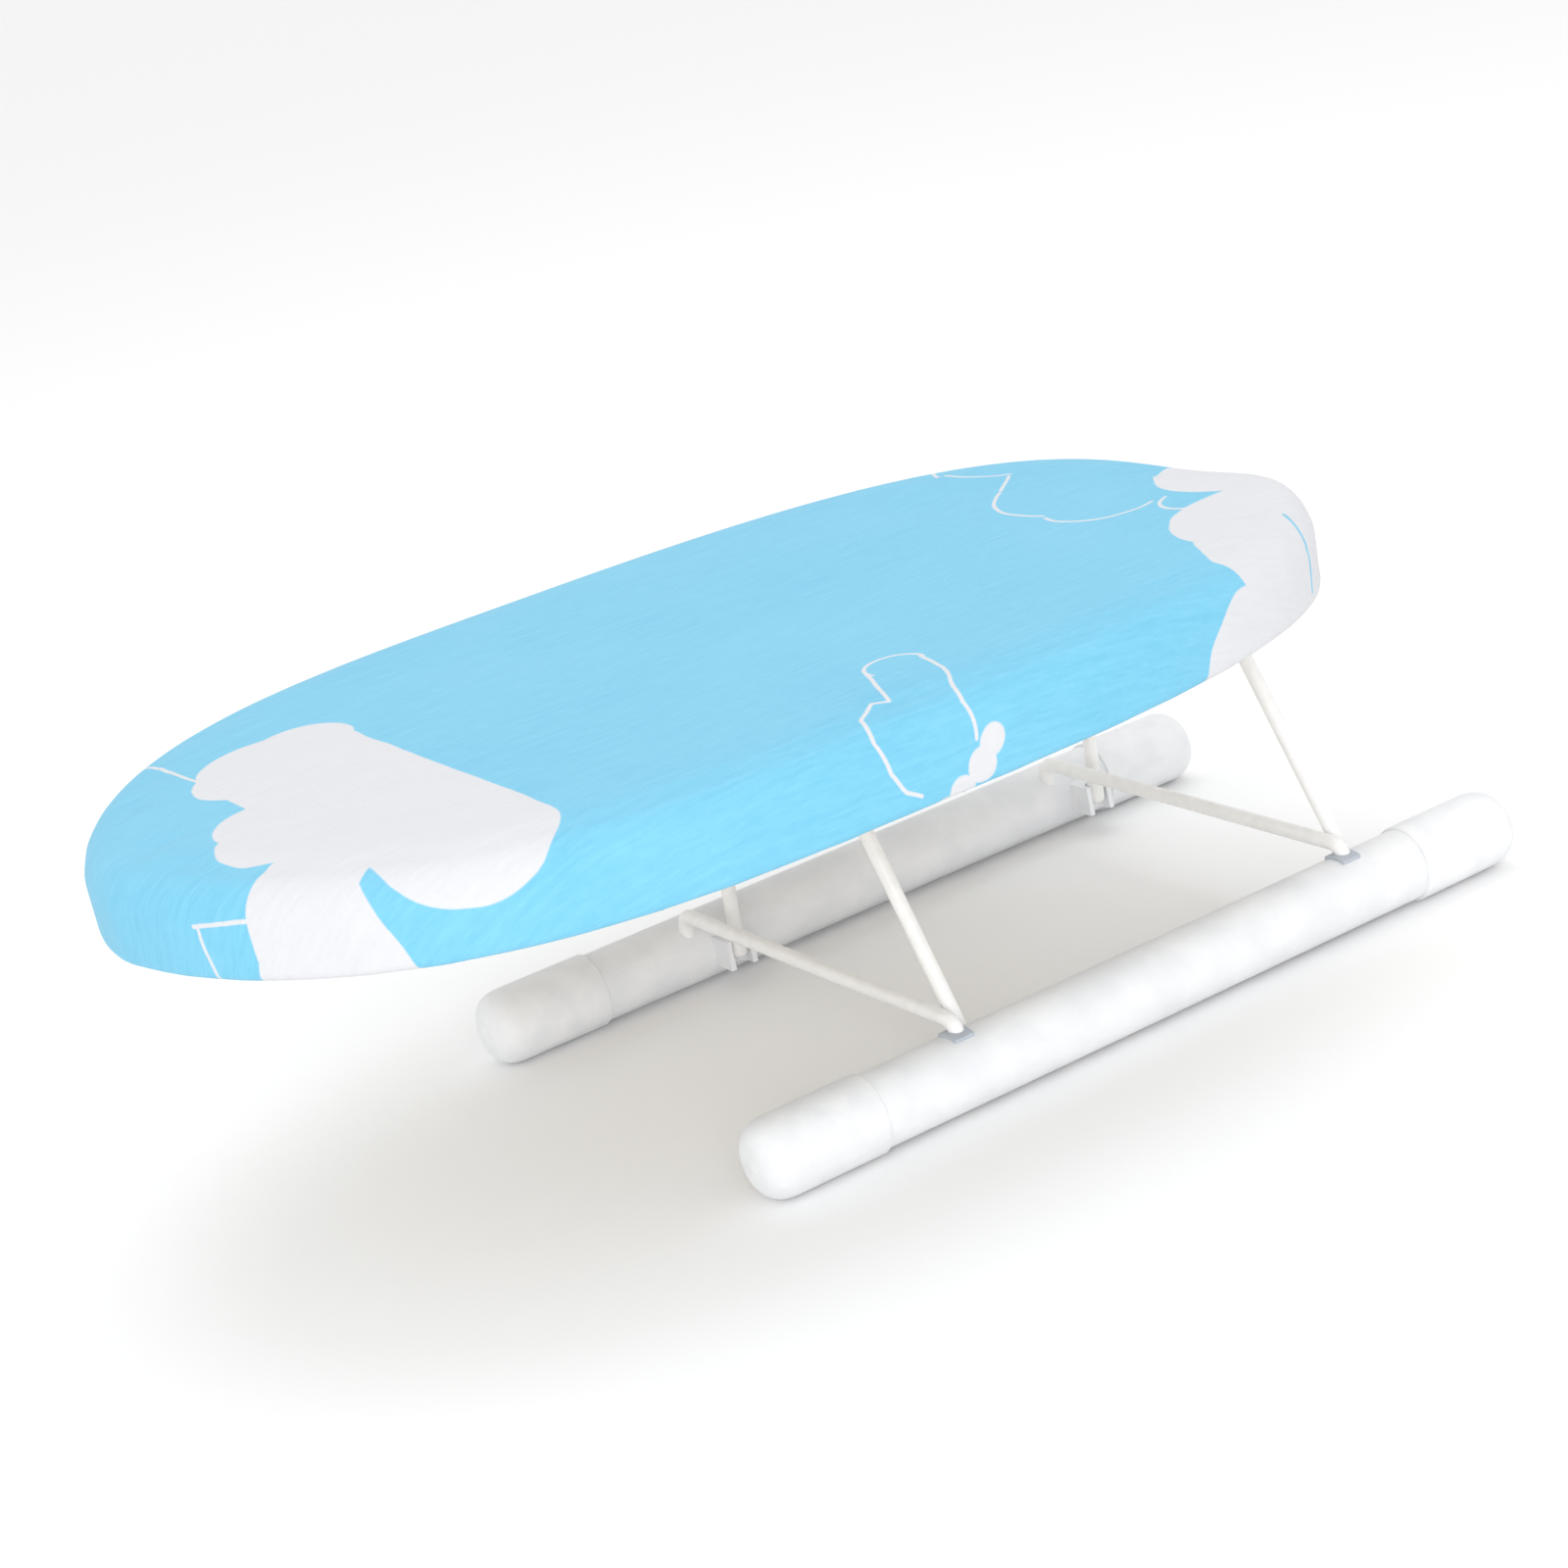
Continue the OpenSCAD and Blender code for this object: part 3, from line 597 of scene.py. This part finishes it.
def screw(name, shank):
    nothing_selected()
    bpy.ops.mesh.primitive_cylinder_add(vertices=48, radius=HEAD_R, depth=HEAD_H,
                                        location=(0, 0, HEAD_H / 2))
    head = place_in_mesh(named(name))
    pick(head, "edges", lambda m, e: m.z > HEAD_H * 0.99 and m.xy.length > HEAD_R * 0.9)
    bpy.ops.mesh.bevel(offset=HEAD_H * 0.72, segments=7, profile=0.55, affect="EDGES")
    nothing_selected()
    for turn in (0, math.pi / 2):
        bpy.ops.mesh.primitive_cube_add(size=1, location=(0, 0, HEAD_H), rotation=(0, 0, turn))
        bar = place_in_mesh(named("cross_bar"))
        across_bar = Matrix.Rotation(-turn, 3, "Z")
        for point in bar.data.vertices:
            flat_co = across_bar @ point.co
            size = (HEAD_R * 0.62, 0.00042) if flat_co.z > HEAD_H else (HEAD_R * 0.30, 0.00030)
            flat_co = Vector((math.copysign(size[0], flat_co.x), math.copysign(size[1], flat_co.y),
                              HEAD_H * (1.2 if flat_co.z > HEAD_H else 0.25)))
            point.co = across_bar.inverted() @ flat_co
        cut = head.modifiers.new("recess", "BOOLEAN")
        cut.operation, cut.object, cut.solver = "DIFFERENCE", bar, "EXACT"
        apply_modifiers(head)
        bpy.data.objects.remove(bar)
    nothing_selected()
    bpy.ops.mesh.primitive_cylinder_add(vertices=20, radius=SHANK_R * 0.8, depth=0.0005,
                                        location=(0, 0, -0.00025))
    body = place_in_mesh(named(name + "_shank"))
    pick(body, "polygons", lambda m, f: f.normal.z < -0.9)
    for turn in range(int(shank / THREAD)):
        wide = turn % 2 == 0
        bpy.ops.mesh.extrude_region_move(TRANSFORM_OT_translate={"value": (0, 0, -0.0012)})
        bpy.ops.transform.resize(value=(1.25 if wide else 0.8,) * 2 + (1,))
    bpy.ops.mesh.merge(type="CENTER")
    nothing_selected()
    body.select_set(True)
    head.select_set(True)
    bpy.context.view_layer.objects.active = head
    bpy.ops.object.join()
    only(head)
    bpy.ops.object.shade_smooth_by_angle(angle=math.radians(35))
    head.data.materials.clear()
    head.data.materials.append(screw_steel)
    return head


block_screw = screw("block_screw", 0.012)
bearing_screw = screw("bearing_screw", 0.010)
print("screw:", len(block_screw.data.polygons), "faces")

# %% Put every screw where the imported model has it
def islands(node):
    """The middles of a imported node's separate solids, found from the gaps between its points."""
    points = np.array([v.co for v in frame["nodes"][node].data.vertices])
    middles = []
    left = points
    while len(left):
        close = np.linalg.norm(left[:, :2] - left[0, :2], axis=1) < 0.009
        low, high = left[close].min(0), left[close].max(0)
        middles.append((low, high))
        left = left[~close]
    return middles


placed = 0
for node, body, name in (("leg_block_screws", "board", "leg_block_screw"),
                         ("strut_block_screws", "board", "strut_block_screw")):
    for number, (low, high) in enumerate(islands(node), 1):
        seat = Vector(((low[0] + high[0]) / 2, (low[1] + high[1]) / 2, low[2] + HEAD_H))
        turned = (Matrix.Translation(seat) @ Matrix.Rotation(math.pi, 4, "X")
                  @ Matrix.Rotation(0.7 * placed, 4, "Z"))
        piece = copied(block_screw, f"{name}_{number}", turned)
        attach(piece, body)
        if number == 1:
            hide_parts(node)
        placed += 1
low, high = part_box("bearing_screws")
for number, x in enumerate((low.x + HEAD_R, high.x - HEAD_R), 1):
    seat = Vector((x, high.y - HEAD_H, (low.z + high.z) / 2))
    turned = (Matrix.Translation(seat) @ Matrix.Rotation(-math.pi / 2, 4, "X")
              @ Matrix.Rotation(0.5 * number, 4, "Z"))
    piece = copied(bearing_screw, f"leg_bearing_screw_{number}", turned)
    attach(piece, "base")
    if number == 1:
        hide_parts("bearing_screws")
    placed += 1
for pattern in (block_screw, bearing_screw):
    bpy.data.objects.remove(pattern)
print("screws placed:", placed)

# %% [markdown]
# ## Padded cover
# The cover is a cotton bag drawn tight over foam by an elastic in its hem. The foam rounds the
# upper edge and lets the top swell a little, and the gathered hem puckers the side. A grid of
# cloth is laid over the pad: its columns run round the board and its rows run from the middle of
# the top, over the edge, down the side and in under the board to the elastic. Because each point
# of the grid is known, the cloth can carry a UV map in metres that the print follows.

# %% Cover outline
board_low, board_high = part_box("fabric_cover")
LENGTH = board_high.x - board_low.x
WIDTH = board_high.y - board_low.y
TOP = board_high.z - 0.0004
NOSE = board_low.x
TO_WIDEST = 0.268
# How pointed each end is along the board, and how full it is across
NOSE_POWER, NOSE_FULLNESS, TAIL_POWER, TAIL_FULLNESS = 3.0, 1.67, 3.1, 3.0
HEM = board_low.z + 0.0024
EDGE_R = 0.017
COLUMNS = 420
# Rows on the flat top, before the cloth turns over the edge
TOP_ROWS = 29


def outline(inset, turns):
    """Points round the board, drawn in by the inset: a fine nose and a square tail."""
    along, side = np.cos(turns), np.sin(turns)
    to_nose = along < 0
    reach = np.where(to_nose, TO_WIDEST, LENGTH - TO_WIDEST) - inset
    power = np.where(to_nose, NOSE_POWER, TAIL_POWER)
    fullness = np.where(to_nose, NOSE_FULLNESS, TAIL_FULLNESS)
    width = (WIDTH / 2 - inset) * np.clip(1 - np.abs(along) ** power, 0, 1) ** (1 / fullness)
    return np.column_stack([NOSE + TO_WIDEST + reach * along, np.where(side > 0, width, -width)])


dense = np.linspace(0, 2 * math.pi, 40001)
walked = np.concatenate([[0], np.cumsum(np.linalg.norm(np.diff(outline(0, dense), axis=0), axis=1))])
TURNS = np.interp(np.linspace(0, walked[-1], COLUMNS + 1), walked, dense)
AROUND = np.linspace(0, walked[-1], COLUMNS + 1)
print("cover:", round(LENGTH, 3), "x", round(WIDTH, 3), "m,", round(walked[-1], 3), "m round the edge")

# %% Cover profile, from the middle of the top to the tucked edge of the hem
profile = [(inset, TOP) for inset in np.linspace(WIDTH / 2, EDGE_R, TOP_ROWS)]
profile += [(EDGE_R * (1 - math.sin(a)), TOP - EDGE_R * (1 - math.cos(a)))
            for a in np.radians(np.arange(9, 91, 9))]
profile += [(0, z) for z in np.linspace(TOP - EDGE_R, HEM + 0.004, 6)[1:]]
profile += [(0.004 * (1 - math.cos(a)), HEM + 0.004 * (1 - math.sin(a)))
            for a in np.radians([22, 45, 68, 90])]
HEM_START = len(profile)
profile += [(inset, HEM) for inset in (0.0065, 0.009, 0.0115, 0.0140, 0.0165, 0.0187)]
TUNNEL_START = len(profile)
profile += [(0.0197, HEM - 0.0004), (0.0200, HEM - 0.0012), (0.0197, HEM - 0.0020), (0.0187, HEM - 0.0024),
            (0.0170, HEM - 0.0024), (0.0155, HEM - 0.0023), (0.0147, HEM - 0.0016), (0.0144, HEM - 0.0004)]
ROWS = len(profile)

# %% Lay the grid over the pad
nothing_selected()
bpy.ops.mesh.primitive_grid_add(x_subdivisions=COLUMNS, y_subdivisions=ROWS - 1, size=0.5,
                                location=(0, 0, TOP))
cover = place_in_mesh(named("padded_cover"))
assert len(cover.data.vertices) == (COLUMNS + 1) * ROWS
shape, flat = [], []
upper_edge, outer_edge = outline(EDGE_R, TURNS), outline(0, TURNS)
outward = outer_edge - upper_edge
outward /= np.linalg.norm(outward, axis=1)[:, None]
gone = 0.0
for row, (inset, z) in enumerate(profile):
    ring = outline(inset, TURNS)
    if row >= TOP_ROWS:
        gone += math.dist(profile[row - 1], profile[row])
        flat.append(upper_edge + outward * gone)
    else:
        flat.append(ring)
    shape.append(np.column_stack([ring, np.full(COLUMNS + 1, z)]))
shape, flat = np.vstack(shape), np.vstack(flat)
cover.data.vertices.foreach_set("co", shape.astype(np.float32).ravel())
corners = np.zeros(len(cover.data.loops), np.int32)
cover.data.loops.foreach_get("vertex_index", corners)
cloth_layer = cover.data.uv_layers[0]
cloth_layer.name = "ClothMetres"
cloth_layer.data.foreach_set("uv", flat[corners].astype(np.float32).ravel())
for label, values in (("around", np.tile(AROUND, ROWS)), ("row", np.repeat(np.arange(ROWS), COLUMNS + 1))):
    cover.data.attributes.new(label, "FLOAT", "POINT").data.foreach_set("value", values.astype(np.float32))
only(cover)
bpy.ops.object.mode_set(mode="EDIT")
bpy.ops.mesh.select_all(action="SELECT")
bpy.ops.mesh.remove_doubles(threshold=2e-5)
bpy.ops.mesh.normals_make_consistent(inside=False)
bpy.ops.object.mode_set(mode="OBJECT")
if sum(f.normal.z * f.area for f in cover.data.polygons if f.center.z > TOP - 1e-4) < 0:
    bpy.ops.object.mode_set(mode="EDIT")
    bpy.ops.mesh.flip_normals()
    bpy.ops.object.mode_set(mode="OBJECT")
bpy.ops.object.shade_smooth()
print("cover grid:", len(cover.data.polygons), "faces")


def read_points(piece):
    points = np.zeros(len(piece.data.vertices) * 3, np.float32)
    piece.data.vertices.foreach_get("co", points)
    return points.reshape(-1, 3).astype(float)


def read_normals(piece):
    normals = np.zeros(len(piece.data.vertices) * 3, np.float32)
    piece.data.vertices.foreach_get("normal", normals)
    return normals.reshape(-1, 3).astype(float)


def read_value(piece, label):
    values = np.zeros(len(piece.data.vertices), np.float32)
    piece.data.attributes[label].data.foreach_get("value", values)
    return values.astype(float)


def write_points(piece, points):
    piece.data.vertices.foreach_set("co", points.astype(np.float32).ravel())
    piece.data.update()

# %% [markdown]
# Blender's cloth solver now blows the cover up a little from inside while the hem is held, as the
# sprung foam does. How far a point may move is capped, least at the side, so that the cover keeps
# to the board's size.

# %% Swell the cover
rows = read_value(cover, "row")
held = cover.vertex_groups.new(name="held_by_elastic")
held.add([int(i) for i in np.nonzero(rows >= HEM_START - 2)[0]], 1.0, "REPLACE")
start = read_points(cover)
stuffing = cover.modifiers.new("stuffing", "CLOTH")
cloth_facts = stuffing.settings
cloth_facts.quality = 5
cloth_facts.mass = 0.2
cloth_facts.tension_stiffness = cloth_facts.compression_stiffness = 30
cloth_facts.shear_stiffness = 10
cloth_facts.bending_stiffness = 2
cloth_facts.use_pressure = True
cloth_facts.uniform_pressure_force = 4
cloth_facts.vertex_group_mass = "held_by_elastic"
cloth_facts.effector_weights.gravity = 0
for frame_number in range(1, 21):
    scene.frame_set(frame_number)
settled = cover.evaluated_get(bpy.context.evaluated_depsgraph_get())
moved = np.zeros(len(start) * 3, np.float32)
settled.data.vertices.foreach_get("co", moved)
moved = moved.reshape(-1, 3) - start
cover.modifiers.remove(stuffing)
scene.frame_set(1)
reach = np.linalg.norm(moved, axis=1)
outer = read_normals(cover)
cap = 0.0008 + 0.0016 * np.clip(outer[:, 2], 0, 1) ** 2
print("cloth moved up to", round(reach.max() * 1000, 1), "mm, capped at", round(cap.max() * 1000, 1))
moved *= (cap * np.tanh(reach / cap) / np.maximum(reach, 1e-9))[:, None]
inward = np.minimum((moved * outer).sum(1), 0)
write_points(cover, start + moved - outer * inward[:, None])
cover.vertex_groups.clear()

# %% [markdown]
# The elastic gathers the hem, so the cloth stands out in small soft folds that run up the side and
# fade towards the top edge. They are added after the simulation, because they are finer than it
# can follow: waves of uneven length, all outwards, strongest at the hem and round the tunnel.

# %% Gathers along the hem
around, rows = read_value(cover, "around"), read_value(cover, "row")
chance = np.random.default_rng(7)
turn = around / walked[-1] * 2 * math.pi


def waves(counts):
    total = np.zeros(len(turn))
    for count, share in counts:
        start_at = chance.uniform(0, 6.28)
        drift = 0.8 * np.sin(3 * turn + chance.uniform(0, 6.28))
        total += share * np.sin(count * turn + start_at + drift)
    return total


broad = np.clip(waves(((23, 0.5), (37, 0.6), (53, 0.5))) / 1.2 + 0.1, 0, None)
sharp = np.clip(waves(((73, 0.6), (96, 0.6), (131, 0.6), (187, 0.5))) / 1.4 + 0.3, 0, None)
points, outer = read_points(cover), read_normals(cover)
drop = np.clip((TOP - 0.008 - points[:, 2]) / (TOP - HEM - 0.012), 0, 1)
side_share = np.sin(math.pi * np.clip(drop, 0, 1) ** 0.8) * 0.8 + 0.2 * drop
folds = broad * side_share * 0.0008
under = rows >= HEM_START
folds[under] = sharp[under] * 0.0010
folds[rows >= TUNNEL_START] = sharp[rows >= TUNNEL_START] * 0.0007
folds[rows >= ROWS - 2] *= 0.3
write_points(cover, points + outer * folds[:, None])
print("gathers stand out up to", round(folds.max() * 1000, 2), "mm")

# %% [markdown]
# At the square end the cloth is a little too long, and what is left over stands up in one soft
# bump by the corner. It is a smooth push outwards and up that fades over a few centimetres.

# %% Slack bump at the tail
points = read_points(cover)
slack_x, slack_y = board_high.x, -0.078
near = np.exp(-((points[:, 0] - slack_x) / 0.030) ** 2 - ((points[:, 1] - slack_y) / 0.042) ** 2)
upper = np.clip((points[:, 2] - HEM) / (TOP - HEM), 0, 1) ** 1.5
points += (near * upper)[:, None] * np.array([0.0050, -0.0005, 0.0052])
write_points(cover, points)

# %% [markdown]
# The tunnel for the elastic is closed by a row of stitches on the underside. Each stitch is a small
# long bead of thread, laid along the cloth where the folded edge now lies.

# %% Stitches along the tunnel
FOLDED_ROW = TUNNEL_START + 4
folded_edge = np.nonzero(np.abs(read_value(cover, "row") - FOLDED_ROW) < 0.1)[0]
folded_edge = folded_edge[np.argsort(read_value(cover, "around")[folded_edge])]
seam = read_points(cover)[np.append(folded_edge, folded_edge[0])]
seam_run = np.concatenate([[0], np.cumsum(np.linalg.norm(np.diff(seam, axis=0), axis=1))])
STEP, STITCH = 0.0036, 0.0026


def on_seam(run):
    return Vector([np.interp(run % seam_run[-1], seam_run, seam[:, k]) for k in range(3)])


nothing_selected()
bpy.ops.mesh.primitive_uv_sphere_add(segments=8, ring_count=5, radius=0.5)
stitch = named("hem_stitches")
bpy.ops.object.shade_smooth()
rows_of_thread = []
for number in range(int(seam_run[-1] / STEP)):
    start, end = on_seam(number * STEP), on_seam(number * STEP + STITCH)
    along = (end - start).to_track_quat("X", "Z").to_matrix().to_4x4()
    lie = Matrix.Translation((start + end) / 2 + Vector((0, 0, -0.00008))) @ along
    bead_size = Matrix.Diagonal((STITCH, 0.0006, 0.0005, 1))
    rows_of_thread.append(copied(stitch, f"stitch_{number}", lie @ bead_size))
bpy.data.objects.remove(stitch)
nothing_selected()
for bead in rows_of_thread:
    bead.select_set(True)
bpy.context.view_layer.objects.active = rows_of_thread[0]
bpy.ops.object.join()
stitches = named("hem_stitches")
stitches.data.materials.append(white_elastic)
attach(stitches, "board")
print("stitches:", len(rows_of_thread), "faces:", len(stitches.data.polygons))

# %% Thickness and finish of the cover
cover.data.materials.clear()
cover.data.materials.append(cotton)
thickness = cover.modifiers.new("cloth_thickness", "SOLIDIFY")
thickness.thickness = 0.0007
thickness.offset = -1
apply_modifiers(cover)
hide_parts("fabric_cover")
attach(cover, "board")
